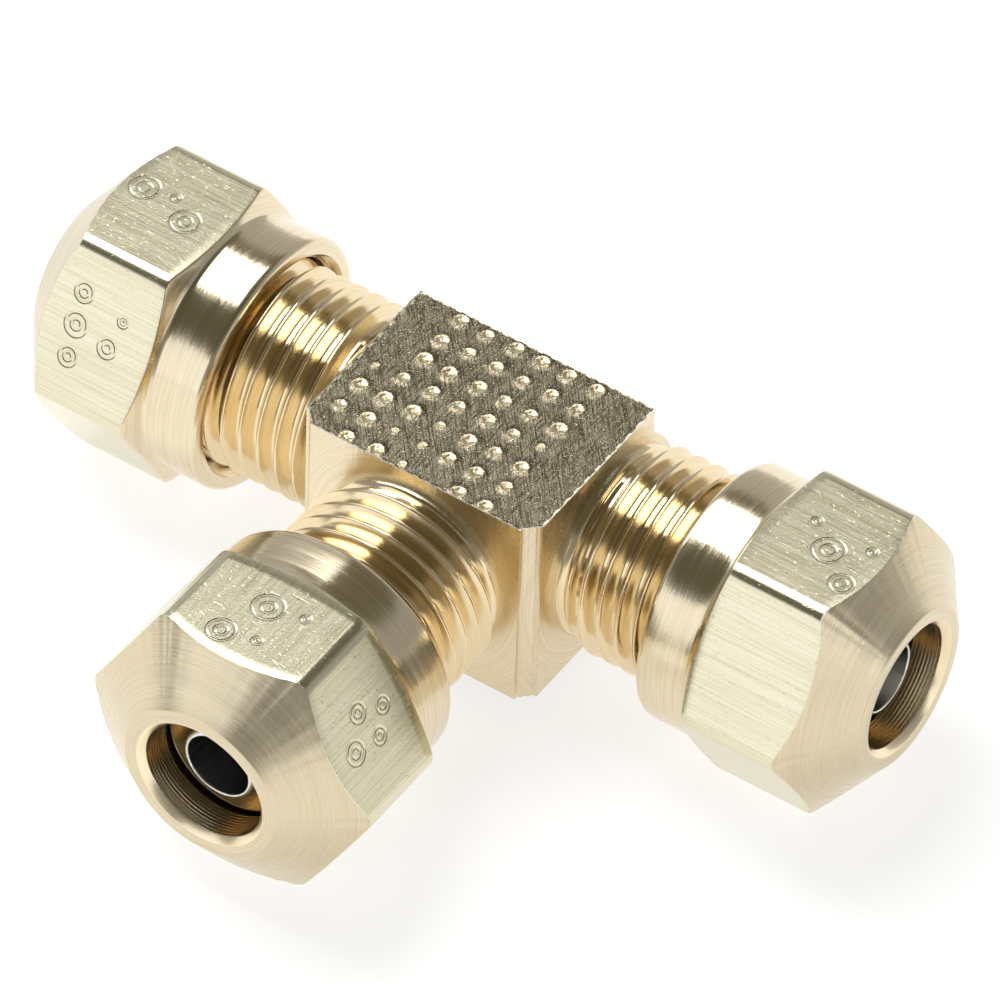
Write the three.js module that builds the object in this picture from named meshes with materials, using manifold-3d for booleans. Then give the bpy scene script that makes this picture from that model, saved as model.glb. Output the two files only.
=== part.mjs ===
// Compression union tee for 1/4 inch nylon tube: a brass body with three threaded arms,
// each with a pressed-in tube support, a loose sleeve (ferrule) and a hex nut.
// Millimetres, +Z up. Origin: on the block's underside, straight below the point where the
// arm axes cross. The run lies along X (left and right arms), the branch arm along -Y.
// Pieces are modelled about the crossing, and the whole fitting is raised at the end.
import * as THREE from 'three';
import { mergeVertices } from 'three/addons/utils/BufferGeometryUtils.js';
import Module from 'manifold-3d';

const wasm = await Module();
wasm.setup();

// ---- driving dimensions ----
const INCH = 25.4;
const THREAD_PITCH = INCH / 24;             // 7/16-24 thread
const THREAD_MAJOR = (7 / 16) * INCH / 2;   // nominal major radius
const TUBE_RADIUS = (1 / 4) * INCH / 2;
const HEX_HALF_FLATS = (9 / 16) * INCH / 2;

const BLOCK = {
  halfRun: 6.92,      // end faces, from the centre along X
  branchFace: 7.0,    // front face, from the run axis
  backFace: 3.65,
  halfHeight: 5.97,
  barrelRadius: 5.6,  // boss about the run axis, standing out of the flat back
  frontLand: 0.9,     // legs of the corner lands
  backLand: 0.15,
};

const ARM = {
  neckRadius: 4.85,
  threadStart: 7.75,
  end: 17.0,
  crestRadius: THREAD_MAJOR - 0.06,
  rootRadius: THREAD_MAJOR - 0.66,
  endRadius: THREAD_MAJOR - 0.76,
  mouthRadius: 4.25,
  mouthSlope: 0.786,  // radius lost for each millimetre of depth, at both cone seats
  socketRadius: TUBE_RADIUS + 0.12,
  socketFloor: 11.5,
  seatRadius: 2.15,   // hole that holds the tube support
  seatFloor: 8.0,
  flowRadius: 1.75,
};

const NUT = {
  length: 11.5,
  collarRadius: 6.85,
  collarEdge: 0.4,
  collarLength: 3.0,
  filletRadius: 7.35,
  hexBack: 3.6,
  coneStart: 8.63,    // where the cone would meet the envelope radius
  envelopeRadius: 8.3,
  mouthRadius: 4.35,
  cornerSetback: 0.43,
  threadClearance: 0.2,
  countersinkRadius: 6.1,
  countersinkDepth: 1.1,
  threadLength: 7.3,
  seatStart: 8.2,
  seatEnd: 9.6,
  boreRadius: 3.35,
  chamfer: 0.32,
};

const SLEEVE = {
  length: 5.6,
  outerRadius: 3.95,
  boreRadius: TUBE_RADIUS + 0.09,
  endRadius: 3.38,
  setBack: 9.15,      // outer end, from the nut's collar end
};

const SUPPORT = { outerRadius: 2.05, innerRadius: 1.75, lip: 0.12, foot: 8.2 };

// The nuts are run on by slightly different amounts, as hand-assembled ones are.
const ARMS = [
  { name: 'right', turn: 0, nutStart: 12.8, supportTip: 23.1 },
  { name: 'branch', turn: -Math.PI / 2, nutStart: 13.5, supportTip: 23.5 },
  { name: 'left', turn: Math.PI, nutStart: 13.1, supportTip: 23.1 },
];

const ROUND_SEGMENTS = 24;
const NUT_SEGMENTS = 36;
const OVERSHOOT = 1;   // how far a cutter runs past the face that it cuts

const BRASS = { color: 0xcfc09a, metalness: 1, roughness: 0.32 };
const FINISHES = {
  tee_body: new THREE.MeshStandardMaterial({ ...BRASS, color: 0xc9b888, roughness: 0.3 }),
  nut: new THREE.MeshStandardMaterial(BRASS),
  sleeve: new THREE.MeshStandardMaterial({ ...BRASS, color: 0xd9b25f, roughness: 0.25 }),
  tube_support: new THREE.MeshStandardMaterial({ ...BRASS, color: 0xd6d6d2, roughness: 0.25 }),
};

// ---- between three.js geometries and manifold solids ----
function toSolid(geometry) {
  const bare = geometry.clone();
  bare.deleteAttribute('normal');
  bare.deleteAttribute('uv');
  const merged = mergeVertices(bare, 1e-5);
  const mesh = new wasm.Mesh({
    numProp: 3,
    vertProperties: new Float32Array(merged.attributes.position.array),
    triVerts: dropFlatTriangles(merged.index.array),
  });
  return new wasm.Manifold(mesh);
}

function dropFlatTriangles(indices) {
  const kept = [];
  for (let i = 0; i < indices.length; i += 3) {
    const [a, b, c] = indices.slice(i, i + 3);
    if (a !== b && b !== c && c !== a) kept.push(a, b, c);
  }
  return new Uint32Array(kept);
}

function toGeometry(solid) {
  const mesh = solid.getMesh();
  const geometry = new THREE.BufferGeometry();
  geometry.setAttribute('position', new THREE.BufferAttribute(mesh.vertProperties, 3));
  geometry.setIndex(new THREE.BufferAttribute(mesh.triVerts, 1));
  geometry.computeVertexNormals();
  return geometry;
}

// ---- basic shapes, all about the Z axis ----
// A turned solid. The outline is a list of [radius, z], from the axis up to the axis again.
function turned(outline, segments = ROUND_SEGMENTS) {
  const points = outline.map(([radius, z]) => new THREE.Vector2(radius, z));
  return toSolid(new THREE.LatheGeometry(points, segments).rotateX(Math.PI / 2));
}

function rod(radius, from, to, segments = ROUND_SEGMENTS) {
  return turned([[0, from], [radius, from], [radius, to], [0, to]], segments);
}

// A right-hand threaded rod. Its helix passes through z = 0 at a fixed angle, so any two
// rods on one axis are in phase. Rows alternate root and crest, half a pitch apart, and
// both ends taper to endRadius.
function threadedRod({ from, to, rootRadius, crestRadius, endRadius }) {
  const halfPitch = THREAD_PITCH / 2;
  const firstRow = Math.floor(from / halfPitch) - 3;
  const lastRow = Math.ceil(to / halfPitch) + 1;
  const rows = lastRow - firstRow + 1;
  const positions = [];
  for (let column = 0; column <= ROUND_SEGMENTS; column += 1) {
    const turn = column / ROUND_SEGMENTS;
    const angle = turn * 2 * Math.PI;
    for (let row = firstRow; row <= lastRow; row += 1) {
      const z = THREE.MathUtils.clamp((row + 2 * turn) * halfPitch, from, to);
      const profile = row % 2 === 0 ? rootRadius : crestRadius;
      const radius = Math.min(profile, endRadius + (z - from), endRadius + (to - z));
      positions.push(radius * Math.cos(angle), radius * Math.sin(angle), z);
    }
  }
  const footPoint = positions.length / 3;
  positions.push(0, 0, from, 0, 0, to);
  const indices = [];
  for (let column = 0; column < ROUND_SEGMENTS; column += 1) {
    const here = column * rows;
    const next = here + rows;
    for (let row = 0; row < rows - 1; row += 1) {
      indices.push(here + row, next + row, next + row + 1);
      indices.push(here + row, next + row + 1, here + row + 1);
    }
    indices.push(footPoint, next, here);
    indices.push(footPoint + 1, here + rows - 1, next + rows - 1);
  }
  const geometry = new THREE.BufferGeometry();
  geometry.setAttribute('position', new THREE.Float32BufferAttribute(positions, 3));
  geometry.setIndex(indices);
  return toSolid(geometry);
}

// ---- the body ----
// Turns a shape made about Z so that it lies along one arm.
function armMatrix(arm) {
  const matrix = new THREE.Matrix4().makeRotationZ(arm.turn);
  return matrix.multiply(new THREE.Matrix4().makeRotationY(Math.PI / 2));
}

function alongArm(solid, arm) {
  return solid.transform(armMatrix(arm).toArray());
}

function blockSolid() {
  const { halfRun, branchFace, backFace, halfHeight, barrelRadius, frontLand, backLand } = BLOCK;
  const outline = new THREE.Shape([
    new THREE.Vector2(-halfRun + frontLand, -branchFace),
    new THREE.Vector2(halfRun - frontLand, -branchFace),
    new THREE.Vector2(halfRun, -branchFace + frontLand),
    new THREE.Vector2(halfRun, backFace - backLand),
    new THREE.Vector2(halfRun - backLand, backFace),
    new THREE.Vector2(-halfRun + backLand, backFace),
    new THREE.Vector2(-halfRun, backFace - backLand),
    new THREE.Vector2(-halfRun, -branchFace + frontLand),
  ]);
  const slab = new THREE.ExtrudeGeometry(outline, { depth: 2 * halfHeight, bevelEnabled: false });
  const barrel = alongArm(rod(barrelRadius, -halfRun, halfRun, 64), ARMS[0]);
  return toSolid(slab.translate(0, 0, -halfHeight)).add(barrel);
}

function armSolid(arm) {
  const neck = rod(ARM.neckRadius, 0, ARM.threadStart + OVERSHOOT);
  const thread = threadedRod({ ...ARM, from: ARM.threadStart, to: ARM.end });
  return alongArm(neck.add(thread), arm);
}

function armPassage(arm) {
  const { mouthRadius, mouthSlope, socketRadius, socketFloor, seatRadius, seatFloor } = ARM;
  const mouthDepth = (mouthRadius - socketRadius) / mouthSlope;
  const outside = mouthRadius + OVERSHOOT * mouthSlope;
  return alongArm(turned([
    [0, -ARM.flowRadius],
    [ARM.flowRadius, -ARM.flowRadius],
    [ARM.flowRadius, seatFloor],
    [seatRadius, seatFloor],
    [seatRadius, socketFloor],
    [socketRadius, socketFloor],
    [socketRadius, ARM.end - mouthDepth],
    [outside, ARM.end + OVERSHOOT],
    [0, ARM.end + OVERSHOOT],
  ]), arm);
}

function teeBody() {
  let body = blockSolid();
  for (const arm of ARMS) body = body.add(armSolid(arm));
  for (const arm of ARMS) body = body.subtract(armPassage(arm));
  return body;
}

// ---- the pieces on each arm, about the arm's own Z axis ----
function tubeSupport(arm) {
  const { outerRadius, innerRadius, lip, foot } = SUPPORT;
  const outside = turned([
    [0, foot],
    [outerRadius, foot],
    [outerRadius, arm.supportTip - lip],
    [outerRadius - lip, arm.supportTip],
    [0, arm.supportTip],
  ]);
  return outside.subtract(rod(innerRadius, foot - OVERSHOOT, arm.supportTip + OVERSHOOT));
}

function sleeve(arm) {
  const { length, outerRadius, boreRadius, endRadius, setBack } = SLEEVE;
  const outerEnd = arm.nutStart + setBack;
  const innerEnd = outerEnd - length;
  const taper = (outerRadius - endRadius) / ARM.mouthSlope;
  const outside = turned([
    [0, innerEnd],
    [endRadius, innerEnd],
    [outerRadius, innerEnd + taper],
    [outerRadius, outerEnd - taper],
    [endRadius, outerEnd],
    [0, outerEnd],
  ]);
  return outside.subtract(rod(boreRadius, innerEnd - OVERSHOOT, outerEnd + OVERSHOOT));
}

// A hexagon with eased corners and flats across local X.
function hexPrism(from, to) {
  const corner = HEX_HALF_FLATS / Math.cos(Math.PI / 6);
  const corners = [];
  for (let side = 0; side < 6; side += 1) {
    const angle = Math.PI / 6 + (side * Math.PI) / 3;
    corners.push(new THREE.Vector2(Math.cos(angle), Math.sin(angle)).multiplyScalar(corner));
  }
  const outline = [];
  corners.forEach((here, side) => {
    const before = corners[(side + 5) % 6];
    const after = corners[(side + 1) % 6];
    const eased = NUT.cornerSetback / corner;
    outline.push(here.clone().lerp(before, eased), here.clone().lerp(after, eased));
  });
  const options = { depth: to - from, bevelEnabled: false };
  return toSolid(new THREE.ExtrudeGeometry(new THREE.Shape(outline), options).translate(0, 0, from));
}

function nutEnvelope(start) {
  return turned([
    [0, start],
    [NUT.collarRadius - NUT.collarEdge, start],
    [NUT.collarRadius, start + NUT.collarEdge],
    [NUT.collarRadius, start + NUT.collarLength],
    [NUT.filletRadius, start + NUT.hexBack - 0.1],
    [NUT.envelopeRadius, start + NUT.hexBack],
    [NUT.envelopeRadius, start + NUT.coneStart],
    [NUT.mouthRadius, start + NUT.length],
    [0, start + NUT.length],
  ], NUT_SEGMENTS);
}

function nutHollow(start) {
  const minorRadius = ARM.rootRadius + NUT.threadClearance;
  const reliefRadius = minorRadius - 0.15;
  const seatRadius = NUT.boreRadius + (NUT.seatEnd - NUT.seatStart) * ARM.mouthSlope;
  const end = start + NUT.length;
  const bore = turned([
    [0, start - OVERSHOOT],
    [NUT.countersinkRadius + OVERSHOOT, start - OVERSHOOT],
    [NUT.countersinkRadius, start],
    [reliefRadius, start + NUT.countersinkDepth],
    [reliefRadius, start + NUT.seatStart - 0.4],
    [seatRadius, start + NUT.seatStart],
    [NUT.boreRadius, start + NUT.seatEnd],
    [NUT.boreRadius, end - NUT.chamfer],
    [NUT.boreRadius + NUT.chamfer + OVERSHOOT, end + OVERSHOOT],
    [0, end + OVERSHOOT],
  ]);
  const thread = threadedRod({
    from: start - OVERSHOOT,
    to: start + NUT.threadLength,
    rootRadius: minorRadius,
    crestRadius: ARM.crestRadius + NUT.threadClearance,
    endRadius: reliefRadius - 0.1,
  });
  return bore.add(thread);
}

function nut(arm) {
  const start = arm.nutStart;
  const collar = rod(NUT.collarRadius, start - OVERSHOOT, start + NUT.hexBack + OVERSHOOT, NUT_SEGMENTS);
  const hexFrom = start + NUT.collarLength;
  const stock = hexPrism(hexFrom, start + NUT.length + OVERSHOOT).add(collar);
  return nutEnvelope(start).intersect(stock).subtract(nutHollow(start));
}

// ---- assembly ----
function makeMesh(name, solid, finish) {
  const mesh = new THREE.Mesh(toGeometry(solid), finish);
  mesh.name = name;
  return mesh;
}

function armGroup(arm) {
  const group = new THREE.Group();
  group.applyMatrix4(armMatrix(arm));
  group.add(makeMesh(`tube_support_${arm.name}`, tubeSupport(arm), FINISHES.tube_support));
  group.add(makeMesh(`sleeve_${arm.name}`, sleeve(arm), FINISHES.sleeve));
  group.add(makeMesh(`nut_${arm.name}`, nut(arm), FINISHES.nut));
  return group;
}

const fitting = new THREE.Group();
fitting.name = 'compression_tee';
fitting.position.z = BLOCK.halfHeight;
fitting.add(makeMesh('tee_body', teeBody(), FINISHES.tee_body));
for (const arm of ARMS) fitting.add(armGroup(arm));

export default fitting;
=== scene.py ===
"""Looks of a brass union tee for nylon tube: body, three hex nuts, sleeves and tube supports.

Shapes are written in millimetres about an arm's own axis (local Z points outward, local X is the
normal of a hex flat) and turned into metres in the shared frame when a mesh is made.
"""
import math
import random

import bmesh
import bpy
import numpy as np
from mathutils import Matrix, Vector


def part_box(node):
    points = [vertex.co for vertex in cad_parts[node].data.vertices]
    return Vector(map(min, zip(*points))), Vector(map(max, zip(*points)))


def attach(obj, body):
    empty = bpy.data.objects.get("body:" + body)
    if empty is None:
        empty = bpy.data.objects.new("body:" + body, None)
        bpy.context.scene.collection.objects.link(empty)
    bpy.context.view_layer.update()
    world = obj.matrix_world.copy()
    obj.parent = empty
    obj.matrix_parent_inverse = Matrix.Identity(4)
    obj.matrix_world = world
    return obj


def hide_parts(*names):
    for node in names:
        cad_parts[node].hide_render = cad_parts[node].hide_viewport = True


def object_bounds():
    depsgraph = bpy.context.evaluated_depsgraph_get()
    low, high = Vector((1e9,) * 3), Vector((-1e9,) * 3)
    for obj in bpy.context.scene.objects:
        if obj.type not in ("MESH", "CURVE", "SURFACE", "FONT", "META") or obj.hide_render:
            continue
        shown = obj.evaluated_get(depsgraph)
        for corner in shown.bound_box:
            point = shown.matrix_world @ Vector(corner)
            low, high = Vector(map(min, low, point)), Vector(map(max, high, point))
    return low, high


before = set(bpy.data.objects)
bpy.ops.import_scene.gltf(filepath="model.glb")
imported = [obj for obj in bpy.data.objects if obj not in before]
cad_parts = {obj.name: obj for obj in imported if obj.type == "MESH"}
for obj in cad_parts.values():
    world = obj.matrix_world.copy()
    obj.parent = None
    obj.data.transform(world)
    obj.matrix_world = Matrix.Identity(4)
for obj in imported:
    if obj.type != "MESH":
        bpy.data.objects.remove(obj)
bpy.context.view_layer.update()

MM = 0.001
SAME_POINT = 2e-7  # metres; points closer together than this are merged
SHARP_ANGLE = 38  # degrees; edges that bend more than this stay sharp


def node_span(node, axis):
    """Lowest and highest millimetre of a CAD node along one axis of the frame."""
    low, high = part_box(node)
    return low[axis] / MM, high[axis] / MM


# ---- sizes, in millimetres, from the frame where it states them ----
CENTRE_HEIGHT = sum(node_span("tee_body", 2)) / 2
HEX_HALF_FLATS = (node_span("nut_right", 2)[1] - node_span("nut_right", 2)[0]) / 2
ARM_END = node_span("tee_body", 0)[1]
PITCH = 25.4 / 24
CREST = 5.5
ROOT = 4.9
FLOW = 1.75  # radius of the hole through the body and the tube supports
SEAT_SLOPE = 0.786  # radius for each millimetre along the cones that grip the sleeve

# Each arm's turn about the vertical, and how far out its nut starts and its tube support ends.
ARMS = {
    "right": {"turn": 0.0,
              "nut": node_span("nut_right", 0)[0],
              "tip": node_span("tube_support_right", 0)[1]},
    "branch": {"turn": -math.pi / 2,
               "nut": -node_span("nut_branch", 1)[1],
               "tip": -node_span("tube_support_branch", 1)[0]},
    "left": {"turn": math.pi,
             "nut": -node_span("nut_left", 0)[1],
             "tip": -node_span("tube_support_left", 0)[0]},
}


def arm_matrix(name):
    """Places a shape made about local Z along one arm."""
    lift = Matrix.Translation((0, 0, CENTRE_HEIGHT * MM))
    return lift @ Matrix.Rotation(ARMS[name]["turn"], 4, "Z") @ Matrix.Rotation(math.pi / 2, 4, "Y")


# ---- mesh making ----
def make_object(name, points, faces, slots=None, materials=()):
    """A mesh object from points in millimetres, with coinciding points merged."""
    mesh = bpy.data.meshes.new(name)
    mesh.from_pydata((np.asarray(points) * MM).tolist(), [], faces)
    for material in materials:
        mesh.materials.append(material)
    if slots is not None:
        mesh.polygons.foreach_set("material_index", slots)
    tidy_normals(mesh)
    made = bpy.data.objects.new(name, mesh)
    bpy.context.scene.collection.objects.link(made)
    return made


def tidy_normals(mesh):
    """Faces point outward, and shade smoothly except across real edges."""
    shape = bmesh.new()
    shape.from_mesh(mesh)
    bmesh.ops.remove_doubles(shape, verts=shape.verts, dist=SAME_POINT)
    bmesh.ops.dissolve_degenerate(shape, edges=shape.edges, dist=SAME_POINT)
    bmesh.ops.recalc_face_normals(shape, faces=shape.faces)
    shape.to_mesh(mesh)
    shape.free()
    mesh.polygons.foreach_set("use_smooth", [True] * len(mesh.polygons))
    mesh.set_sharp_from_angle(angle=math.radians(SHARP_ANGLE))


def sweep(name, turns, profile, row_slots, materials, ring=True):
    """A surface of revolution whose profile may change with the angle.

    profile(turn) lists [radius, height] rows; row_slots has the material slot of each band.
    ring says that the profile closes on itself; otherwise it starts and ends on the axis.
    """
    rows = len(profile(0.0))
    points = []
    for turn in turns:
        outline = np.array(profile(turn))
        angle = 2 * math.pi * turn
        around = outline[:, :1] * np.array([[math.cos(angle), math.sin(angle)]])
        points.append(np.hstack([around, outline[:, 1:]]))
    faces, slots = [], []
    bands = rows if ring else rows - 1
    for column in range(len(turns) - 1):
        here, following = column * rows, (column + 1) * rows
        for row in range(bands):
            above = (row + 1) % rows
            faces.append([here + row, following + row, following + above, here + above])
            slots.append(row_slots[row])
    return make_object(name, np.vstack(points), faces, slots, materials)


def even_turns(count):
    """Angles all the way round, as shares of a turn, with the first one again at the end."""
    return [step / count for step in range(count + 1)]


def arc(centre, radius, start, end, steps):
    """Points on a circle in the profile plane, angles in degrees from the radius direction."""
    angles = [math.radians(start + (end - start) * k / steps) for k in range(steps + 1)]
    return [[centre[0] + radius * math.cos(a), centre[1] + radius * math.sin(a)] for a in angles]


def line(start, end, steps):
    """Evenly spaced points after start, up to and with end."""
    return [[start[0] + (end[0] - start[0]) * k / steps,
             start[1] + (end[1] - start[1]) * k / steps] for k in range(1, steps + 1)]


# ---- threads ----
# One pitch of the male form, from root to root: share of the pitch, height above the root.
# The crest is a narrow land with a fine raised burr along both edges.
DEPTH = CREST - ROOT
THREAD_WOBBLE = 0.005
THREAD_FORM = [
    (0.00, 0.0), (0.06, 0.0), (0.10, 0.04), (0.25, 0.31), (0.40, 0.565), (0.425, DEPTH),
    (0.445, DEPTH + 0.018), (0.465, DEPTH - 0.008), (0.50, DEPTH - 0.014), (0.535, DEPTH - 0.008),
    (0.555, DEPTH + 0.018), (0.575, DEPTH), (0.60, 0.565), (0.75, 0.31), (0.90, 0.04), (0.94, 0.0),
]
FEMALE_FORM = [(0.0, 0.0), (0.10, 0.04), (0.42, 0.57), (0.5, DEPTH), (0.58, 0.57), (0.90, 0.04)]


def thread_rows(turn, start, end, form, root, bound):
    """Rows of a right-hand helix between two heights; bound(height, radius) trims each row."""
    first = math.floor(start / PITCH) - 2
    last = math.ceil(end / PITCH) + 1
    rows = []
    for number in range(first, last):
        for share, height in form:
            z = min(max((number + share + turn) * PITCH, start), end)
            wobble = THREAD_WOBBLE * math.sin(67.3 * (number + turn)) * (height / DEPTH)
            rows.append([bound(z, root + height + wobble), z])
    return rows


# ---- the nut: radii, and distances along it from the open end of its collar ----
NUT_LENGTH = node_span("nut_right", 0)[1] - node_span("nut_right", 0)[0]
COLLAR = 6.85
COLLAR_ROUND = 0.38
COLLAR_END = 2.8
HEX_START = 3.08
FILLET = 0.14  # how far the fillet between collar and hexagon stands out from the collar
HEX_CORNER = HEX_HALF_FLATS / math.cos(math.pi / 6)
CORNER_ROUND = 0.95
CORNER_SETBACK = CORNER_ROUND * math.tan(math.pi / 6)
FLAT_HALF_WIDTH = HEX_HALF_FLATS * math.tan(math.pi / 6) - CORNER_SETBACK
FLAT_EDGE = math.degrees(math.atan(FLAT_HALF_WIDTH / HEX_HALF_FLATS))
BACK_SLOPE = 0.37  # how far the back of the hexagon leans, for each millimetre of radius
BACK_CORNER = 3.62
EDGE = 0.05
CONE_SLOPE = 1.376  # radius lost for each millimetre along the outer cone
RIM = 4.35
BORE = 3.35
CHAMFER = 0.32
BORE_GROOVES = 8
GROOVES_END = 0.05  # the grooves stop this far inside the chamfer
NUT_THREAD = (0.09, 7.3)
THREAD_CLEARANCE = 0.2
COUNTERSINK = 6.1
COUNTERSINK_SLOPE = 1.1
NUT_SEAT = (8.2, 9.6)
NUT_SEAT_LENGTH = 1.4


def nut_turns():
    """Angles close together round each hex corner and wider along the flats."""
    flat_steps, corner_steps, strip = 13, 12, 0.25
    flat = [(FLAT_EDGE - strip) * k / flat_steps for k in range(flat_steps + 1)]
    corner = [FLAT_EDGE + (60 - 2 * FLAT_EDGE) * k / corner_steps for k in range(corner_steps + 1)]
    side = flat + corner + [60 - degree for degree in flat[:0:-1]]
    return [(60 * number + degree) / 360 for number in range(6) for degree in side] + [1.0]


def hex_radius(turn):
    """Distance from the axis to the hexagon with rounded corners."""
    from_flat = (turn * 360 + 30) % 60 - 30
    if abs(from_flat) <= FLAT_EDGE:
        return HEX_HALF_FLATS / math.cos(math.radians(from_flat))
    from_corner = math.radians(30 - abs(from_flat))
    centre = HEX_CORNER - CORNER_ROUND / math.cos(math.pi / 6)
    across = centre * math.sin(from_corner)
    return centre * math.cos(from_corner) + math.sqrt(CORNER_ROUND ** 2 - across ** 2)


def nut_profile(start):
    """Profile of a nut whose collar ends at that distance, and the material slot of each band.

    Slots: 0 collar, 1 flats, 2 cone, 3 bore, 4 thread.
    """
    end = start + NUT_LENGTH
    minor = ROOT + THREAD_CLEARANCE
    thread_start, thread_end = (start + distance for distance in NUT_THREAD)
    seat_start, seat_end = (start + distance for distance in NUT_SEAT)
    grooves_end = end - CHAMFER - GROOVES_END

    def trimmed(z, radius):
        countersink = COUNTERSINK - (z - start) / COUNTERSINK_SLOPE
        return min(max(radius, countersink), minor + thread_end - z)

    def outside(turn):
        hexagon = hex_radius(turn)
        back = start + BACK_CORNER - (HEX_CORNER - hexagon) * BACK_SLOPE
        ragged_edge = 0.02 * math.sin(22 * math.pi * turn) * math.sin(122 * math.pi * turn)
        front = end - (hexagon - RIM) / CONE_SLOPE + ragged_edge
        rows = [[6.06, start + 0.02], [6.14, start], [6.4, start]]
        rows += arc((6.47, start + COLLAR_ROUND), COLLAR_ROUND, -90, 0, 6)
        rows += line([COLLAR, start + 0.4], [COLLAR, start + COLLAR_END], 4)
        rows += [[COLLAR + 0.02, start + 2.93], [COLLAR + 0.07, start + 3.02],
                 [COLLAR + FILLET, start + HEX_START]]
        rows += line([COLLAR + FILLET, start + HEX_START], [hexagon - EDGE, back - EDGE * BACK_SLOPE], 4)
        rows += [[hexagon - 0.012, back + 0.012], [hexagon, back + EDGE]]
        rows += line([hexagon, back + EDGE], [hexagon, front - EDGE], 10)
        rows += [[hexagon - 0.004, front - 0.015], [hexagon - 0.045, front + 0.02]]
        rows += line([hexagon - 0.045, front + 0.02], [RIM + 0.09, end - 0.09 / CONE_SLOPE], 12)
        rows += [[RIM + 0.03, end - 0.012], [RIM - 0.03, end], [BORE + CHAMFER + 0.03, end]]
        return rows

    def inside(turn):
        rows = [[BORE + CHAMFER, end - 0.012], [BORE + 0.03, end - CHAMFER + 0.01],
                [BORE, end - CHAMFER - 0.03]]
        groove = (grooves_end - seat_end) / BORE_GROOVES
        for number in range(BORE_GROOVES):
            top = grooves_end - number * groove
            rows += [[BORE, top], [BORE, top - 0.3 * groove], [BORE + 0.008, top - 0.45 * groove],
                     [BORE + 0.010, top - 0.7 * groove], [BORE + 0.002, top - 0.9 * groove]]
        rows += [[BORE, seat_end], [BORE + NUT_SEAT_LENGTH * SEAT_SLOPE, seat_start], [minor, seat_start]]
        rows += thread_rows(turn, thread_start, thread_end, FEMALE_FORM, minor, trimmed)[::-1]
        return rows

    def profile(turn):
        return outside(turn) + inside(turn)

    # How many rows outside() and inside() give each part, in their order.
    collar_rows = 3 + 7 + 4 + 3 + 4
    flat_rows = 2 + 10 + 1
    cone_rows = 1 + 12 + 2
    bore_rows = 2 + 3 + 5 * BORE_GROOVES + 2
    slots = [0] * collar_rows + [1] * flat_rows + [2] * cone_rows + [3] * bore_rows
    slots += [4] * (len(profile(0.0)) - len(slots))
    return profile, slots


# ---- the body: distances from the crossing of its axes ----
HALF_RUN = 6.92
BRANCH_FACE = 7.0
HALF_HEIGHT = (node_span("tee_body", 2)[1] - node_span("tee_body", 2)[0]) / 2
BACK_FACE = 3.65
FRONT_LAND = 0.9
BACK_LAND = 0.15
LAND_RIBS = 3.5
SIDE_LEVELS = (0.985, 0.5, -0.5, -1.0)  # heights of the rows of points down the sides
GRID_STEP = 0.066

BOSS = 5.6
BOSS_BEVEL = 0.06
BOSS_INSET = 0.02  # the boss ends this far inside the block's faces

NECK = 5.15
NECK_START = 3.0
NECK_END = 7.3
ARM_THREAD_START = 7.62
SUPPORT_SEAT = 2.15
SUPPORT_SEAT_START = 8.0
SOCKET = 3.295
SOCKET_START = 11.5
CONE_SEAT_DEPTH = 1.215
CONE_SEAT_MOUTH = 4.25
INSIDE = 4.4  # faces closer to an arm's axis than this belong to the passage

DIMPLE_START = (-5.79, 3.02)
DIMPLE_PITCH = (1.61, 1.605)
DIMPLE_DRIFT = 0.07
FAINT_DIMPLE = 0.55
PIT_HALF_WIDTH = 0.27
PIT_DEPTH = 0.075
RING_RADIUS = 0.36
RING_HEIGHT = 0.03
RIDGE_WIDTH = 0.045

# Material slots of the body, in the order of BODY_FINISHES.
(SAWN_SLOT, RUN_FACE_SLOT, BRANCH_FACE_SLOT, RUN_THREAD_SLOT, BRANCH_THREAD_SLOT,
 PASSAGE_SLOT, DIMPLE_SLOT, BURR_HIGHLIGHT_SLOT) = range(8)


def dimples():
    """Punch marks on the top face, on a square grid with some missing: x, y, size, turn, tilt."""
    spread = random.Random(4)
    # For each row from back to front: its marks from the left-hand column on; 2 is a faint one.
    rows = ["0111111", "0111111", "0111111", "2111112", "1112111", "1122111", "0112011"]
    made = []
    for row, marks in enumerate(rows):
        for column, mark in enumerate(marks):
            x = DIMPLE_START[0] + DIMPLE_PITCH[0] * column + spread.uniform(-DIMPLE_DRIFT, DIMPLE_DRIFT)
            y = DIMPLE_START[1] - DIMPLE_PITCH[1] * row + spread.uniform(-DIMPLE_DRIFT, DIMPLE_DRIFT)
            size = spread.uniform(0.85, 1.1)
            turn = spread.uniform(0.5, 1.1)
            tilt = spread.uniform(-0.3, 0.3)
            if mark != "0":
                made.append((x, y, size if mark == "1" else FAINT_DIMPLE * size, turn, tilt))
    return made


DIMPLES = dimples()


def top_relief(x, y):
    """Height of the dimpled face above its flat: small faceted pits in soft raised rings."""
    height = np.zeros_like(x)
    for cx, cy, size, turn, tilt in DIMPLES:
        u = (x - cx) * math.cos(turn) + (y - cy) * math.sin(turn)
        v = (y - cy) * math.cos(turn) - (x - cx) * math.sin(turn)
        distance = np.hypot(u, v) / size
        ring = np.exp(-((distance - RING_RADIUS) / 0.15) ** 2) * (1 + tilt * u / 0.3)
        pit = np.clip(1 - np.maximum(np.abs(u), np.abs(v) * 1.15) / (PIT_HALF_WIDTH * size), 0, 1)
        ridge = (np.exp(-((u - 0.1 * tilt) / RIDGE_WIDTH) ** 2)
                 + np.exp(-((v + 0.12 * tilt) / RIDGE_WIDTH) ** 2))
        height += (RING_HEIGHT * size * ring - PIT_DEPTH * size * pit
                   + RING_HEIGHT * ridge * np.clip(pit * 3, 0, 1))
    return height


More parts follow.
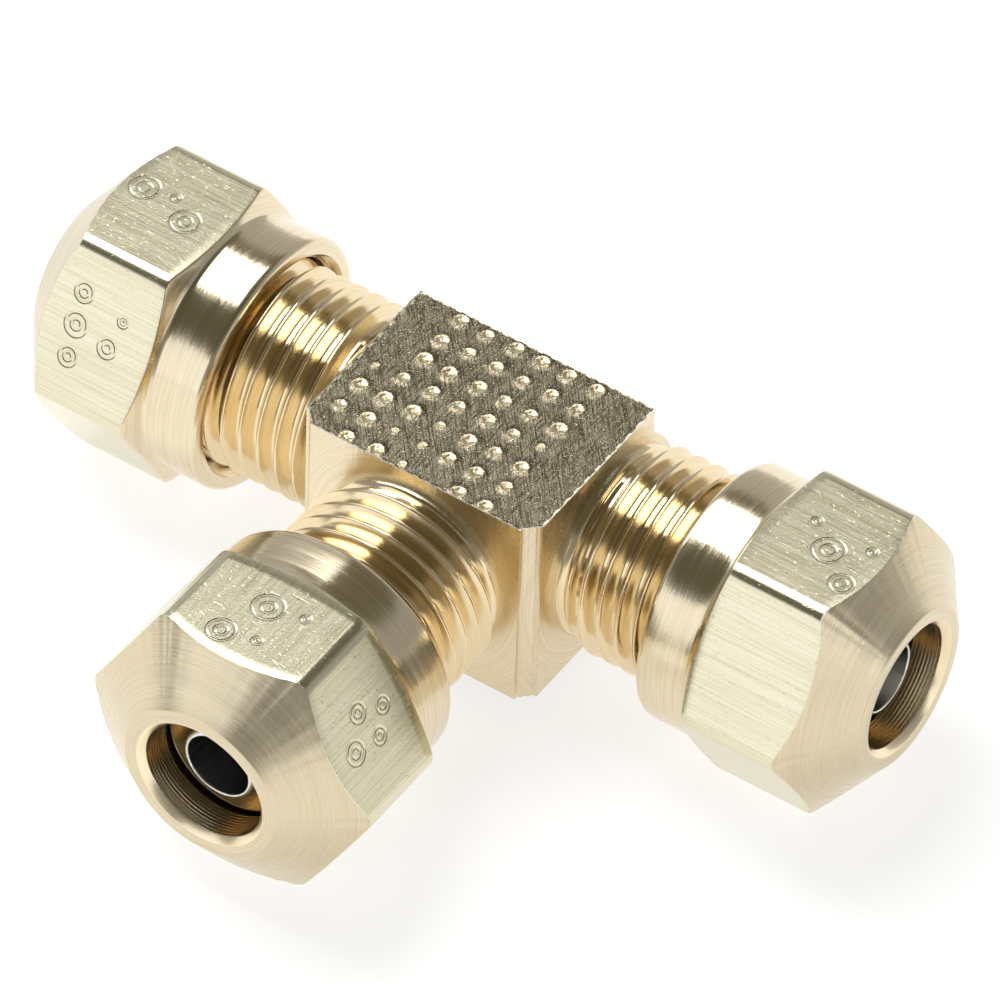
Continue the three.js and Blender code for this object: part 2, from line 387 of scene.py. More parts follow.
def ragged(x, y):
    """A repeatable unevenness between -1 and 1, for torn edges."""
    return (np.sin(9.1 * x + 5.3 * y)
            + np.sin(17.7 * x - 13.1 * y + 1)
            + np.sin(31 * x + 27 * y + 2)) / 3


def reeding(border):
    """Vertical ribs on the two front corner lands, with a thin burr along both edges of each."""
    across = (border[:, 1] + BRANCH_FACE) / FRONT_LAND
    on_land = (across > 0.01) & (across < 0.99)
    ribs = 0.03 * np.sin(2 * math.pi * LAND_RIBS * across) - 0.03
    burrs = 0.09 * (np.exp(-((across - 0.07) / 0.05) ** 2) + np.exp(-((across - 0.93) / 0.05) ** 2))
    push = np.where(on_land, ribs + burrs, 0) / math.sqrt(2)
    return np.stack([push * np.sign(border[:, 0]), -push, np.zeros_like(push)], axis=1)


def half_width(y):
    """Half of the block's width along the run at a distance from the run axis."""
    front = HALF_RUN - FRONT_LAND + y + BRANCH_FACE
    behind = HALF_RUN - BACK_LAND + BACK_FACE - y
    return np.minimum(HALF_RUN, np.minimum(front, behind))


def levels_between(start, end):
    """Grid lines from one distance to another, without the last."""
    steps = max(1, round((end - start) / GRID_STEP))
    return [start + (end - start) * k / steps for k in range(steps)]


def block_object(materials):
    """The block: dimpled top, flat underside, flat back and four corner lands."""
    across = round(2 * HALF_RUN / GRID_STEP)
    stops = [-BRANCH_FACE, -BRANCH_FACE + FRONT_LAND, BACK_FACE - BACK_LAND, BACK_FACE]
    levels = [y for start, end in zip(stops, stops[1:]) for y in levels_between(start, end)]
    levels.append(BACK_FACE)
    y = np.repeat(np.array(levels)[:, None], across + 1, axis=1)
    half = half_width(y)
    x = half * np.linspace(-1, 1, across + 1)[None, :]
    edge = np.minimum(np.minimum(half - np.abs(x), y + BRANCH_FACE), BACK_FACE - y)
    burr = np.exp(-(edge / 0.06) ** 2) * (0.05 + 0.035 * ragged(x, y))
    z = HALF_HEIGHT + top_relief(x, y) * np.clip(edge / 0.2, 0, 1) + burr
    top = np.stack([x, y, z], axis=2).reshape(-1, 3)
    width = across + 1
    rows = len(levels)
    faces = [[r * width + c, r * width + c + 1, (r + 1) * width + c + 1, (r + 1) * width + c]
             for r in range(rows - 1) for c in range(across)]
    border = list(range(width)) + [r * width + across for r in range(1, rows)]
    border += [(rows - 1) * width + c for c in range(across - 1, -1, -1)]
    border += [r * width for r in range(rows - 2, 0, -1)]
    outline = top[border] + reeding(top[border])
    torn = np.sign(outline[:, :2]) * (0.02 + 0.02 * ragged(outline[:, :1], outline[:, 1:2]))
    top[border, :2] = outline[:, :2] + torn
    points, ring = [top], border
    count = len(border)
    for number, share in enumerate(SIDE_LEVELS):
        level = outline.copy()
        level[:, 2] = share * HALF_HEIGHT
        points.append(level)
        below = list(range(len(top) + number * count, len(top) + (number + 1) * count))
        faces += [[ring[k], below[k], below[(k + 1) % count], ring[(k + 1) % count]]
                  for k in range(count)]
        ring = below
    faces.append(ring)
    return make_object("machined_body", np.vstack(points), faces, None, materials)


def boss_profile(turn):
    """The round boss about the run, standing out of the block's back."""
    end = HALF_RUN - BOSS_INSET
    shoulder = HALF_RUN - BOSS_BEVEL - BOSS_BEVEL
    return [[0, -end], [BOSS - BOSS_BEVEL, -end], [BOSS, -shoulder],
            [BOSS, shoulder], [BOSS - BOSS_BEVEL, end], [0, end]]


def arm_outside(turn):
    """Profile of an arm from inside the block out to its end, on the axis at both ends."""
    def trimmed(z, radius):
        run_in = 4.86 + (z - ARM_THREAD_START) * 1.2
        run_out = 4.72 + (ARM_END - z) * 1.1
        return min(radius, run_in, run_out)

    neck = [[0, NECK_START], [NECK, NECK_START], [NECK, NECK_END], [5.05, 7.45], [4.88, 7.55]]
    thread = thread_rows(turn, ARM_THREAD_START, ARM_END - 0.02, THREAD_FORM, ROOT, trimmed)
    return neck + thread + [[4.68, ARM_END], [0, ARM_END]]


def arm_inside(turn):
    """Profile of the passage cut into an arm: flow hole, support seat, tube socket, cone seat."""
    return [[0, 0], [FLOW, 0], [FLOW, SUPPORT_SEAT_START], [SUPPORT_SEAT, SUPPORT_SEAT_START],
            [SUPPORT_SEAT, SOCKET_START], [SOCKET, SOCKET_START], [SOCKET, ARM_END - CONE_SEAT_DEPTH],
            [CONE_SEAT_MOUTH + SEAT_SLOPE, ARM_END + 1], [0, ARM_END + 1]]


def boolean(target, tool, operation):
    """Joins or cuts target with tool, and removes tool."""
    modifier = target.modifiers.new("cut", "BOOLEAN")
    modifier.operation = operation
    modifier.object = tool
    modifier.solver = "MANIFOLD"
    bpy.context.view_layer.update()
    graph = bpy.context.evaluated_depsgraph_get()
    mesh = bpy.data.meshes.new_from_object(target.evaluated_get(graph))
    target.modifiers.remove(modifier)
    target.data = mesh
    bpy.data.objects.remove(tool)


def body_slot(centre, normal):
    """The material slot of a face of the body."""
    x, y, z = centre
    if min(math.hypot(y, z), math.hypot(x, z)) < INSIDE:
        return PASSAGE_SLOT
    if abs(x) > HALF_RUN + 0.1:
        return RUN_THREAD_SLOT
    if y < -BRANCH_FACE - 0.1:
        return BRANCH_THREAD_SLOT
    if abs(z) > HALF_HEIGHT - 0.5 and abs(normal[2]) > 0.15:
        nearest = min(math.hypot(x - cx, y - cy) / size for cx, cy, size, turn, tilt in DIMPLES)
        edge = min(half_width(y) - abs(x), y + BRANCH_FACE, BACK_FACE - y)
        # A thin band along the top edges takes the painted edge highlight.
        if z > 0 and edge < 0.09 + 0.05 * math.sin(9 * x + 7 * y):
            return BURR_HIGHLIGHT_SLOT
        return DIMPLE_SLOT if z > 0 and nearest < 0.37 else SAWN_SLOT
    return BRANCH_FACE_SLOT if abs(normal[1]) > 0.9 else RUN_FACE_SLOT


def body_object(materials):
    """The block with its boss and arms joined on and its passage cut, made about the crossing."""
    body = block_object(materials)

    def apply(name, arm, columns, profile, operation):
        tool = sweep(name, even_turns(columns), profile, [0] * len(profile(0.0)), materials, ring=False)
        tool.matrix_world = Matrix.Translation((0, 0, -CENTRE_HEIGHT * MM)) @ arm_matrix(arm)
        boolean(body, tool, operation)

    apply("boss", "right", 144, boss_profile, "UNION")
    for name in ARMS:
        apply("arm", name, 126, arm_outside, "UNION")
    for name in ARMS:
        apply("hole", name, 96, arm_inside, "DIFFERENCE")
    for polygon in body.data.polygons:
        polygon.material_index = body_slot(polygon.center / MM, polygon.normal)
    tidy_normals(body.data)
    body.location = (0, 0, CENTRE_HEIGHT * MM)
    return body


# ---- sleeve and tube support ----
SLEEVE = 3.95
SLEEVE_TIP = 3.38
SLEEVE_BORE = 3.265
SLEEVE_END = 9.15  # from the nut's start
SLEEVE_LENGTH = 5.6
SUPPORT = 2.05
SUPPORT_START = 8.2
SUPPORT_LIP = 0.08


def sleeve_profile(name):
    """A loose ring with a cone at each end, inside the nut of an arm."""
    outer_end = ARMS[name]["nut"] + SLEEVE_END
    inner_end = outer_end - SLEEVE_LENGTH
    taper = (SLEEVE - SLEEVE_TIP) / SEAT_SLOPE
    return [
        [SLEEVE_BORE + 0.04, inner_end], [3.34, inner_end], [SLEEVE_TIP, inner_end + 0.03],
        [3.93, inner_end + taper - 0.02], [SLEEVE, inner_end + taper + 0.05],
        [SLEEVE, outer_end - taper - 0.05], [3.93, outer_end - taper + 0.02],
        [SLEEVE_TIP, outer_end - 0.03], [3.35, outer_end], [SLEEVE_BORE + 0.03, outer_end],
        [SLEEVE_BORE, outer_end - 0.04], [SLEEVE_BORE, inner_end + 0.04],
    ]


def support_profile(name):
    """A thin tube pressed into an arm, with a rounded lip at its outer end."""
    tip = ARMS[name]["tip"]
    lip = [[SUPPORT, tip - 0.30], [2.03, tip - 0.18], [1.97, tip - 0.08], [1.91, tip - 0.03]]
    lip += arc((1.83, tip - SUPPORT_LIP), SUPPORT_LIP, 60, 180, 6)
    return [[FLOW, SUPPORT_START], [SUPPORT, SUPPORT_START]] + lip


# ---- finishes ----
STROKE = 0.10  # half the width of a stamped line
SOFT_STROKE = 0.3  # share of the stroke that is at full depth
INNER_RING = 0.45  # radius of a mark's inner ring, as a share of its outer ring
STAMP_FLOOR = 7.0  # a flat is stamped only this far out from the axis


def put(tree, socket, value):
    """Links an input to another node's output, or sets it to a plain value."""
    if isinstance(value, bpy.types.NodeSocket):
        tree.links.new(value, socket)
    else:
        socket.default_value = value


def math_node(tree, operation, first, second=0.0, third=0.0):
    """The result of a Math node; each operand is a number or another node's output."""
    made = tree.nodes.new("ShaderNodeMath")
    made.operation = operation
    for socket, value in zip(made.inputs, (first, second, third)):
        put(tree, socket, value)
    return made.outputs[0]


class Finish:
    """A metal with one Principled shader, and short calls for the nodes that vary it.

    along is the coordinate on the turning axis, and side and rise the two across it, in metres.
    """

    def __init__(self, name, colour, roughness, axis="Z", anisotropic=0.0, rotation=0.0):
        self.material = bpy.data.materials.new(name)
        self.material.use_nodes = True
        self.tree = self.material.node_tree
        self.shader = self.tree.nodes["Principled BSDF"]
        self.roughness = roughness
        self.shader.inputs["Base Color"].default_value = (*colour, 1)
        self.shader.inputs["Metallic"].default_value = 1
        self.shader.inputs["Roughness"].default_value = roughness
        self.normal = None
        self.place = self.node("ShaderNodeTexCoord").outputs["Object"]
        x, y, z = self.node("ShaderNodeSeparateXYZ", Vector=self.place).outputs
        self.along, self.side, self.rise = {"X": (x, y, z), "Y": (y, x, z), "Z": (z, x, y)}[axis]
        if anisotropic:
            self.shader.inputs["Anisotropic"].default_value = anisotropic
            self.shader.inputs["Anisotropic Rotation"].default_value = rotation
            tangent = self.node("ShaderNodeTangent")
            tangent.direction_type = "RADIAL"
            tangent.axis = axis
            self.tree.links.new(tangent.outputs[0], self.shader.inputs["Tangent"])

    def node(self, kind, **inputs):
        """A new node with its inputs set; _ stands for a space in an input's name."""
        made = self.tree.nodes.new(kind)
        for name, value in inputs.items():
            self.put(made.inputs[name.replace("_", " ")], value)
        return made

    def put(self, socket, value):
        put(self.tree, socket, value)

    def math(self, operation, first, second=0.0):
        return math_node(self.tree, operation, first, second)

    def radius(self):
        """Distance from the turning axis."""
        squares = self.math("ADD", self.math("POWER", self.side, 2), self.math("POWER", self.rise, 2))
        return self.math("SQRT", squares)

    def vector(self, x, y, z):
        return self.node("ShaderNodeCombineXYZ", X=x, Y=y, Z=z).outputs[0]

    def noise(self, vector, detail=2.0, gain=0.5):
        made = self.node("ShaderNodeTexNoise", Vector=vector, Scale=1.0, Detail=detail, Roughness=gain)
        return made.outputs["Fac"]

    def scaled(self, x, y, z):
        """The place on the piece, each coordinate multiplied: a feature is 1 / scale metres long."""
        made = self.node("ShaderNodeVectorMath", Vector=self.place)
        made.operation = "MULTIPLY"
        made.inputs[1].default_value = (x, y, z)
        return made.outputs[0]

    def spread(self, value, low, high, to_low=0.0, to_high=1.0):
        """Maps value from the range low to high onto another range, and stops at its ends."""
        made = self.node("ShaderNodeMapRange", Value=value)
        limits = {"From Min": low, "From Max": high, "To Min": to_low, "To Max": to_high}
        for name, number in limits.items():
            made.inputs[name].default_value = number
        return made.outputs[0]

    def bump(self, height, distance, strength=1.0):
        """Adds relief, distance metres high where height goes from 0 to 1."""
        made = self.node("ShaderNodeBump", Height=height, Strength=strength, Distance=distance)
        if self.normal:
            self.tree.links.new(self.normal, made.inputs["Normal"])
        self.normal = made.outputs[0]
        self.put(self.shader.inputs["Normal"], self.normal)

    def lean(self, axis, value, amount):
        """Tilts the surface round the axis, by amount radians as value goes from 0 to 1."""
        back = self.math("MULTIPLY", self.rise, -1)
        order = {"X": (0.0, back, self.side),
                 "Y": (self.rise, 0.0, self.math("MULTIPLY", self.side, -1)),
                 "Z": (back, self.side, 0.0)}[axis]
        around = self.node("ShaderNodeVectorMath", Vector=self.vector(*order))
        around.operation = "NORMALIZE"
        world = self.node("ShaderNodeVectorTransform", Vector=around.outputs[0])
        world.vector_type, world.convert_from, world.convert_to = "VECTOR", "OBJECT", "WORLD"
        push = self.node("ShaderNodeVectorMath", Vector=world.outputs[0])
        push.operation = "SCALE"
        centred = self.math("SUBTRACT", value, 0.5)
        self.put(push.inputs["Scale"], self.math("MULTIPLY", centred, 2 * amount))
        total = self.node("ShaderNodeVectorMath", Vector=self.normal)
        total.operation = "ADD"
        self.put(total.inputs[1], push.outputs[0])
        unit = self.node("ShaderNodeVectorMath", Vector=total.outputs[0])
        unit.operation = "NORMALIZE"
        self.normal = unit.outputs[0]
        self.put(self.shader.inputs["Normal"], self.normal)

    def stamps(self, marks):
        """1 on the strokes of shallow double rings stamped on the flats of a nut, 0 elsewhere.

        A mark is (flat's angle in degrees, millimetres across, millimetres along, ring radius).
        """
        total = 0.0
        for angle, across, along, ring in marks:
            cosine, sine = math.cos(math.radians(angle)), math.sin(math.radians(angle))
            u = self.math("SUBTRACT", self.math("MULTIPLY", self.rise, cosine),
                          self.math("MULTIPLY", self.side, sine))
            out = self.math("ADD", self.math("MULTIPLY", self.side, cosine),
                            self.math("MULTIPLY", self.rise, sine))
            u = self.math("SUBTRACT", u, across * MM)
            v = self.math("SUBTRACT", self.along, along * MM)
            squares = self.math("ADD", self.math("MULTIPLY", u, u), self.math("MULTIPLY", v, v))
            distance = self.math("SQRT", squares)
            from_outer = self.math("ABSOLUTE", self.math("SUBTRACT", distance, ring * MM))
            from_inner = self.math("ABSOLUTE", self.math("SUBTRACT", distance, INNER_RING * ring * MM))
            off = self.math("MINIMUM", from_outer, from_inner)
            stroke = self.spread(off, STROKE * MM, SOFT_STROKE * STROKE * MM)
            stroke = self.math("MULTIPLY", stroke, self.math("GREATER_THAN", out, STAMP_FLOOR * MM))
            total = self.math("MAXIMUM", total, stroke)
        return total

    def vary_roughness(self, value, amount):
        """Moves the roughness up and down by amount as value wanders about the middle."""
        self.put(self.shader.inputs["Roughness"],
                 self.spread(value, 0.3, 0.7, self.roughness - amount, self.roughness + amount))

    def tint(self, value, other, low=0.35, high=0.65):
        """Mixes the colour towards another where value goes from low to high."""
        made = self.tree.nodes.new("ShaderNodeMix")
        made.data_type = "RGBA"
        self.put(made.inputs[0], self.spread(value, low, high))
        source = self.shader.inputs["Base Color"]
        if source.is_linked:
            self.put(made.inputs[6], source.links[0].from_socket)
        else:
            made.inputs[6].default_value = source.default_value
        made.inputs[7].default_value = (*other, 1)
        self.put(source, made.outputs[2])


def turned_finish(name, colour, shadow, roughness, axis="Z", depth=2.2e-6, anisotropic=0.6,
                  sway=0.03, grain=1.4e-6):
    """Fine grooves round the axis, as a lathe leaves.

    depth is the height of the grooves and grain that of the fine unevenness, in metres; sway tilts
    the surface along the grooves, in radians.
    """
    made = Finish(name, colour, roughness, axis, anisotropic, 0.25)
    level = made.math("SUBTRACT", made.along, made.radius())

    def streaks(length, pitch, detail):
        return made.noise(made.vector(made.math("MULTIPLY", made.side, 1 / length),
                                      made.math("MULTIPLY", made.rise, 1 / length),
                                      made.math("MULTIPLY", level, 1 / pitch)), detail)

    fine = streaks(5e-3, 0.07e-3, 2)
    broad = streaks(9e-3, 0.28e-3, 3)
    made.bump(fine, depth)
    made.bump(broad, 1.2 * depth)
    made.bump(made.noise(made.scaled(7500, 7500, 7500), 2), grain)
    made.lean(axis, streaks(1.1e-3, 0.042e-3, 2), sway)
    made.vary_roughness(broad, 0.05)
    made.tint(fine, shadow, 0.42, 0.80)
    return made


def drawn_finish(name, colour, shadow, roughness, marks=()):
    """The skin of drawn hexagon bar: long draw lines, pits, stray scratches and stamped marks."""
    made = Finish(name, colour, roughness, "Z", 0.3, 0.0)
    lines = made.noise(made.scaled(9500, 9500, 130), 3)
    blotch = made.noise(made.scaled(1500, 1500, 600), 4)
    pits = made.spread(made.noise(made.scaled(5200, 5200, 4200), 2), 0.66, 0.72)
    scratch = made.spread(made.noise(made.scaled(420, 7800, 6500), 1), 0.72, 0.75)
    crossing = made.spread(made.noise(made.scaled(7400, 700, 5200), 1), 0.72, 0.75)
    made.bump(lines, 1.5e-6)
    made.bump(made.noise(made.scaled(12000, 12000, 9000), 2), 1.5e-6)
    made.bump(made.math("ADD", made.math("ADD", pits, scratch), crossing), -3.5e-6)
    if marks:
        made.bump(made.stamps(marks), -3.4e-5)
    made.vary_roughness(blotch, 0.012)
    made.tint(lines, shadow, 0.42, 0.72)
    return made


def sawn_finish(name, colour, shadow, roughness):
    """A saw-cut and dressed face: fine scratches in two directions with bright flecks; the flecks and a
    third set of lines are painted glints in lighter brass colours.
    """
    made = Finish(name, colour, roughness)
    x, y = made.side, made.rise
    steep = made.math("ADD", made.math("MULTIPLY", x, 0.76), made.math("MULTIPLY", y, 0.65))
    cross = made.math("SUBTRACT", made.math("MULTIPLY", y, 0.76), made.math("MULTIPLY", x, 0.65))

    def scratches(across, lengthways, length, pitch, seed):
        return made.noise(made.vector(made.math("MULTIPLY", across, 1 / pitch),
                                      made.math("MULTIPLY", lengthways, 1 / length), seed), 3)

    first = scratches(steep, cross, 1.3e-3, 0.08e-3, 0.3)
    second = scratches(x, y, 1.1e-3, 0.09e-3, 7.0)
    third = scratches(cross, steep, 0.9e-3, 0.07e-3, 3.0)
    flecks = made.spread(made.noise(made.scaled(7200, 7200, 7200), 2), 0.60, 0.70)
    grain = made.noise(made.scaled(11000, 11000, 11000), 2)
    made.bump(first, 9e-6)
    made.bump(second, 7e-6)
    made.bump(made.spread(third, 0.6, 0.7), 7e-6)
    made.bump(flecks, 14e-6)
    made.bump(grain, 4e-6)
    made.vary_roughness(grain, 0.06)
    made.tint(made.math("MAXIMUM", first, second), shadow, 0.46, 0.62)
    # Painted glints: the third set of lines and the flecks are tinted to lighter brass colours.
    made.tint(made.spread(third, 0.62, 0.72), TURNED_SHADOW, 0.2, 1.0)
    made.tint(flecks, TURNED, 0.3, 1.0)
    return made


def torn_finish(name, colour, shadow, roughness):
    """Crumpled metal: fresh metal in punch marks, and along burred edges a near-white painted highlight.
    """
    made = Finish(name, colour, roughness)
    crumple = made.noise(made.scaled(6500, 6500, 6500), 3)
    made.bump(crumple, 24e-6)
    made.tint(crumple, shadow)
    return made


def plain_finish(name, colour, shadow, roughness):
    """Bright drawn tube, with fine length marks."""
    made = Finish(name, colour, roughness)
    marks = made.noise(made.scaled(6000, 6000, 300), 2)
    made.bump(marks, 1.5e-6)
    made.tint(marks, shadow)
    return made


TURNED = (0.80, 0.69, 0.49)
TURNED_SHADOW = (0.70, 0.58, 0.38)
# Painted shade: the cones take the turned brass colour made darker, for the light that falls less on
# them.
CONE_PAINTED_SHADE = (0.71, 0.61, 0.425)
CONE_SHADOW = (0.62, 0.515, 0.335)
THREAD = (0.84, 0.70, 0.46)
THREAD_SHADOW = (0.78, 0.60, 0.34)
FLATS = (0.78, 0.725, 0.535)
FLATS_SHADOW = (0.66, 0.595, 0.39)
# Painted shade: the sawn faces take a brass colour made dark, for the dark studio they scatter towards
# and the shade of their own scratches.
SAWN_PAINTED_SHADE = (0.32, 0.275, 0.185)
SAWN_SHADOW = (0.115, 0.096, 0.060)
# Painted light: the bores and the passage take a brass colour lighter than the turned outside, against
# the shade inside them.
BORE_PAINTED_LIGHT = (0.92, 0.79, 0.55)
BORE_SHADOW = (0.82, 0.66, 0.42)
PUNCHED = (0.82, 0.70, 0.47)
PUNCHED_SHADOW = (0.56, 0.45, 0.26)
# Painted highlight: the burred top edges take a near-white colour, on real burred geometry.
BURR_PAINTED_HIGHLIGHT = (0.95, 0.89, 0.74)
BURR_PAINTED_HIGHLIGHT_DIM = (0.90, 0.80, 0.60)
SLEEVE_TONE = (0.84, 0.69, 0.46)
SLEEVE_SHADOW = (0.76, 0.59, 0.34)
STEEL = (0.80, 0.80, 0.79)
STEEL_SHADOW = (0.62, 0.62, 0.61)

COLLAR_FINISH = turned_finish("brass_collar", TURNED, TURNED_SHADOW, 0.20, depth=2.8e-6, sway=0.045)
# The cones' finish carries painted shade in its darker colour.
SHADED_CONE_FINISH = turned_finish("brass_cone_painted_shade", CONE_PAINTED_SHADE, CONE_SHADOW, 0.27, depth=3.2e-6, anisotropic=0.4,
                            sway=0.045)
# The bore finish carries painted light in its lighter colour.
BORE_FINISH = turned_finish("brass_bore_painted_light", BORE_PAINTED_LIGHT, BORE_SHADOW, 0.25)
NUT_THREAD_FINISH = turned_finish("brass_inner_thread", THREAD, THREAD_SHADOW, 0.22, depth=2e-6)
# The sawn faces' finish carries painted shade in its dark colour.
SHADED_SAWN_FINISH = sawn_finish("brass_sawn_face_painted_shade", SAWN_PAINTED_SHADE, SAWN_SHADOW, 0.26)
DIMPLE_FINISH = torn_finish("brass_dimples", PUNCHED, PUNCHED_SHADOW, 0.34)
# The burrs' finish carries the painted edge highlight.
BURR_HIGHLIGHT_FINISH = torn_finish("brass_burrs_painted_highlight", BURR_PAINTED_HIGHLIGHT, BURR_PAINTED_HIGHLIGHT_DIM, 0.42)
RUN_FACE_FINISH = turned_finish("brass_run_face", TURNED, TURNED_SHADOW, 0.28, axis="X")
BRANCH_FACE_FINISH = turned_finish("brass_branch_face", TURNED, TURNED_SHADOW, 0.28, axis="Y")
RUN_THREAD_FINISH = turned_finish("brass_run_thread", THREAD, THREAD_SHADOW, 0.16, axis="X",
                                  depth=1.0e-6, sway=0.025, grain=0.15e-6)
BRANCH_THREAD_FINISH = turned_finish("brass_branch_thread", THREAD, THREAD_SHADOW, 0.16, axis="Y",
                                     depth=1.0e-6, sway=0.025, grain=0.15e-6)
# The passage carries the same painted light in its lighter colour.
BODY_BORE_FINISH = plain_finish("brass_passage_painted_light", BORE_PAINTED_LIGHT, BORE_SHADOW, 0.3)
SLEEVE_FINISH = turned_finish("brass_sleeve", SLEEVE_TONE, SLEEVE_SHADOW, 0.18)
SUPPORT_FINISH = plain_finish("bright_steel", STEEL, STEEL_SHADOW, 0.16)

BODY_FINISHES = [SHADED_SAWN_FINISH, RUN_FACE_FINISH, BRANCH_FACE_FINISH, RUN_THREAD_FINISH,
                 BRANCH_THREAD_FINISH, BODY_BORE_FINISH, DIMPLE_FINISH, BURR_HIGHLIGHT_FINISH]

# Stamped double rings on each nut, on the flat that faces up and on the next one to the front:
# angle of the flat, millimetres across it, millimetres from the nut's start, radius of the outer ring.
TOP, FRONT = 180, 120
MARKS = {
    "right": [(TOP, -0.9, 5.2, 0.26), (TOP, 0.4, 6.7, 0.80), (TOP, -0.7, 8.5, 0.26),
              (TOP, 1.9, 8.4, 0.60)],
    "branch": [(TOP, 0.2, 5.6, 0.80), (TOP, -1.7, 5.2, 0.24), (TOP, 1.2, 8.1, 0.70),
               (TOP, -0.6, 7.7, 0.24), (FRONT, 0.2, 5.0, 0.42), (FRONT, 0.9, 6.6, 0.50),
               (FRONT, -0.9, 6.0, 0.42), (FRONT, -0.6, 7.8, 0.60)],
    "left": [(TOP, 0.6, 8.3, 0.75), (TOP, -0.2, 5.3, 0.75), (TOP, 0.9, 6.6, 0.24),
             (FRONT, 0.0, 7.6, 0.62), (FRONT, -1.7, 7.5, 0.50), (FRONT, 1.7, 7.7, 0.50),
             (FRONT, -0.4, 5.6, 0.50), (FRONT, 1.2, 5.2, 0.26)],
}


def nut_finishes(name):
    """The five finishes of a nut: collar, flats, cone, bore and inner thread."""
    front = 240 if name == "right" else FRONT
    marks = [(front if angle == FRONT else angle, across, along + ARMS[name]["nut"], ring)
             for angle, across, along, ring in MARKS[name]]
    flats = drawn_finish(f"brass_drawn_flats_{name}", FLATS, FLATS_SHADOW, 0.205, marks)
    return [COLLAR_FINISH, flats, SHADED_CONE_FINISH, BORE_FINISH, NUT_THREAD_FINISH]


# ---- pieces ----
def add_piece(piece, body, node):
    """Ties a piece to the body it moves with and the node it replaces."""
    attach(piece, body)
    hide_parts(node)


def add_ring(name, profile, finish, matrix):
    """A plain round piece, with the same profile all the way round."""
    made = sweep(name, even_turns(96), lambda turn: profile, [0] * len(profile), [finish.material])
    made.matrix_world = matrix
    return made


add_piece(body_object([finish.material for finish in BODY_FINISHES]), "tee", "tee_body")

for name in ARMS:
    profile, slots = nut_profile(ARMS[name]["nut"])
    nut = sweep(f"turned_nut_{name}", nut_turns(), profile, slots,
                [finish.material for finish in nut_finishes(name)])
    nut.matrix_world = arm_matrix(name)
    add_piece(nut, f"nut_{name}", f"nut_{name}")
    ring = add_ring(f"ring_sleeve_{name}", sleeve_profile(name), SLEEVE_FINISH, arm_matrix(name))
    add_piece(ring, f"sleeve_{name}", f"sleeve_{name}")
    tube = add_ring(f"support_tube_{name}", support_profile(name), SUPPORT_FINISH, arm_matrix(name))
    add_piece(tube, "tee", f"tube_support_{name}")


# ---- stage, in metres ----
FLOOR_HALF = 4.0
FLOOR_GREY = 0.50
FLOOR_GLOW = 0.76
PANEL_TINT = (0.97, 1.0, 1.06)
WALL, WARM = (1, 1, 1), (1.0, 0.93, 0.66)
# The studio from straight below (0) to straight above (1): height, brightness, hue.
STUDIO_STEPS = ((0.0, 0.46, WALL), (0.25, 0.40, WALL), (0.56, 0.39, WALL),
                (0.63, 0.155, WARM), (1.0, 0.145, WARM))
# Strength of the studio, and what is added to it towards the back and towards the right.
STUDIO_STRENGTH = 0.75
STUDIO_BACK = 0.5
STUDIO_RIGHT = -0.12

CAMERA_AZIMUTH = 32.8
CAMERA_ELEVATION = 46.28
CAMERA_ROLL = 2.0
CAMERA_DISTANCE = 0.5837
CAMERA_AIM = (10.31, -15.36, 17.78 + CENTRE_HEIGHT)  # millimetres
LENS = 448.0
SENSOR = 36.0


def add_floor():
    """A pale floor that glows a little, at the lowest point of the part."""
    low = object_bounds()[0]
    mesh = bpy.data.meshes.new("floor")
    corners = [(-1, -1), (1, -1), (1, 1), (-1, 1)]
    mesh.from_pydata([(x * FLOOR_HALF, y * FLOOR_HALF, 0) for x, y in corners], [], [(0, 1, 2, 3)])
    floor = bpy.data.objects.new("floor", mesh)
    floor.location.z = low.z
    bpy.context.scene.collection.objects.link(floor)
    material = bpy.data.materials.new("pale_floor")
    material.use_nodes = True
    shader = material.node_tree.nodes["Principled BSDF"]
    shader.inputs["Base Color"].default_value = (FLOOR_GREY, FLOOR_GREY, FLOOR_GREY, 1)
    shader.inputs["Roughness"].default_value = 0.9
    shader.inputs["Emission Color"].default_value = (1, 1, 1, 1)
    shader.inputs["Emission Strength"].default_value = FLOOR_GLOW
    mesh.materials.append(material)


def panel(name, centre, width, height, radiance, aim=(0, 0, 0)):
    """A rectangular light that faces a point, with the same radiance all over."""
    data = bpy.data.lights.new(name, "AREA")
    data.shape = "RECTANGLE"
    data.size, data.size_y = width, height
    data.energy = math.pi * radiance * width * height
    light = bpy.data.objects.new(name, data)
    light.location = centre
    light.rotation_mode = "QUATERNION"
    light.rotation_quaternion = (Vector(centre) - Vector(aim)).to_track_quat("Z", "Y")
    data.color = PANEL_TINT
    light.visible_camera = False
    bpy.context.scene.collection.objects.link(light)


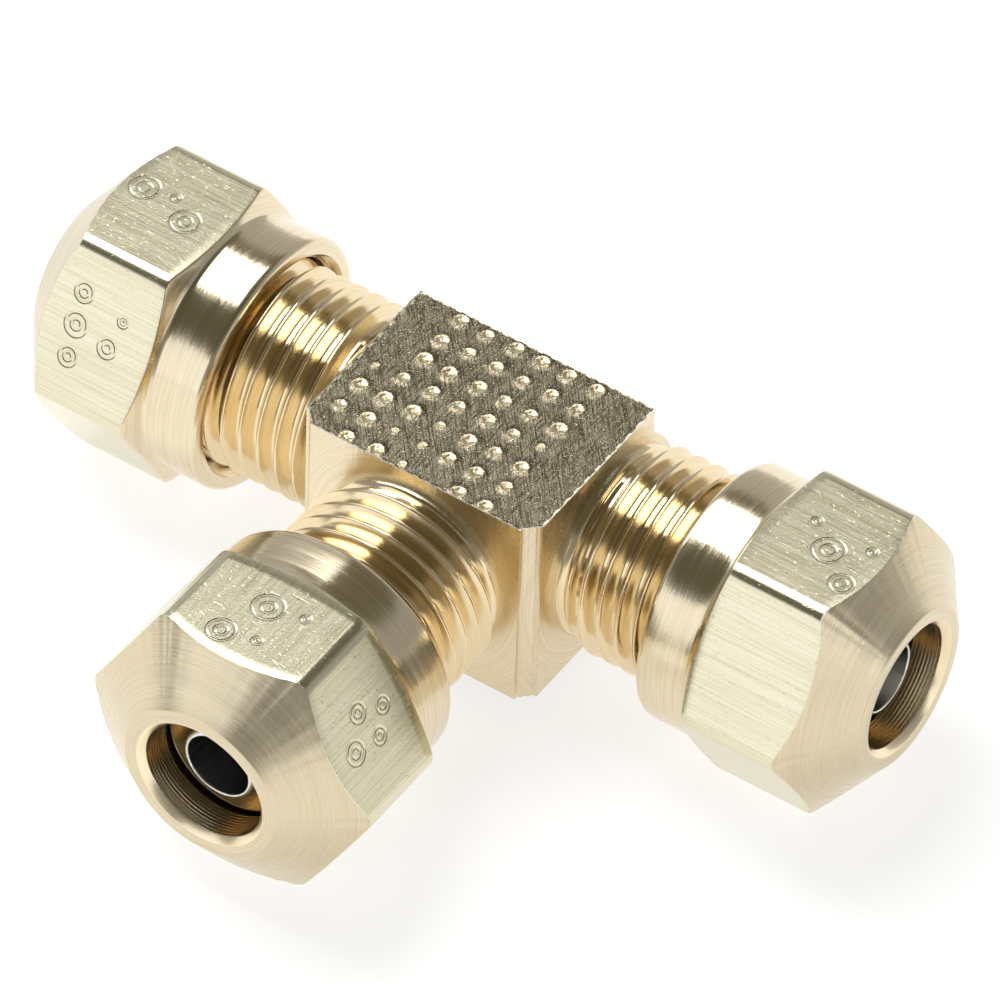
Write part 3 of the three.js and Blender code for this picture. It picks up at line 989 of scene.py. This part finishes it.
def add_world():
    """A grey studio with pale walls and a darker, warmer ceiling, brightest at the back."""
    world = bpy.data.worlds.new("studio")
    bpy.context.scene.world = world
    world.use_nodes = True
    tree = world.node_tree
    tree.nodes.clear()
    split = tree.nodes.new("ShaderNodeSeparateXYZ")
    tree.links.new(tree.nodes.new("ShaderNodeTexCoord").outputs["Generated"], split.inputs[0])
    ramp = tree.nodes.new("ShaderNodeValToRGB")
    tree.links.new(split.outputs["Z"], ramp.inputs[0])
    stops = ramp.color_ramp.elements  # a new ramp has two stops already
    for number, (position, grey, hue) in enumerate(STUDIO_STEPS):
        stop = stops[number] if number < 2 else stops.new(position)
        stop.position = position
        stop.color = (*(grey * part for part in hue), 1)
    to_back = math_node(tree, "MAXIMUM", split.outputs["Y"], 0.0)
    strength = math_node(tree, "MULTIPLY_ADD", to_back, STUDIO_BACK, STUDIO_STRENGTH)
    strength = math_node(tree, "MULTIPLY_ADD", split.outputs["X"], STUDIO_RIGHT, strength)
    background = tree.nodes.new("ShaderNodeBackground")
    tree.links.new(ramp.outputs[0], background.inputs["Color"])
    tree.links.new(strength, background.inputs["Strength"])
    output = tree.nodes.new("ShaderNodeOutputWorld")
    tree.links.new(background.outputs[0], output.inputs["Surface"])


def add_camera():
    """A long lens, from the azimuth right of the branch and the elevation above the floor."""
    azimuth, elevation = math.radians(CAMERA_AZIMUTH), math.radians(CAMERA_ELEVATION)
    roll = math.radians(CAMERA_ROLL)
    back = Vector((math.sin(azimuth) * math.cos(elevation),
                   -math.cos(azimuth) * math.cos(elevation),
                   math.sin(elevation)))
    right = Vector((math.cos(azimuth), math.sin(azimuth), 0))
    up = back.cross(right)
    tilted_right = right * math.cos(roll) + up * math.sin(roll)
    tilted_up = up * math.cos(roll) - right * math.sin(roll)
    aim = Vector(CAMERA_AIM) * MM
    data = bpy.data.cameras.new("camera")
    data.lens = LENS
    data.sensor_width = SENSOR
    camera = bpy.data.objects.new("camera", data)
    turned = Matrix((tilted_right, tilted_up, back)).transposed().to_4x4()
    camera.matrix_world = Matrix.Translation(aim + back * CAMERA_DISTANCE) @ turned
    bpy.context.scene.collection.objects.link(camera)
    bpy.context.scene.camera = camera


add_floor()
add_world()
panel("ceiling_panel", (-1.02, 0.258, 1.0), 1.64, 0.776, 4.4, aim=(-1.02, 0.258, 0))
panel("front_card", (-0.60, -1.26, 0.41), 1.12, 0.82, 0.92)
panel("right_card", (1.45, -0.22, 0.20), 0.80, 0.38, 1.15)
add_camera()
bpy.context.scene.view_settings.view_transform = "Standard"
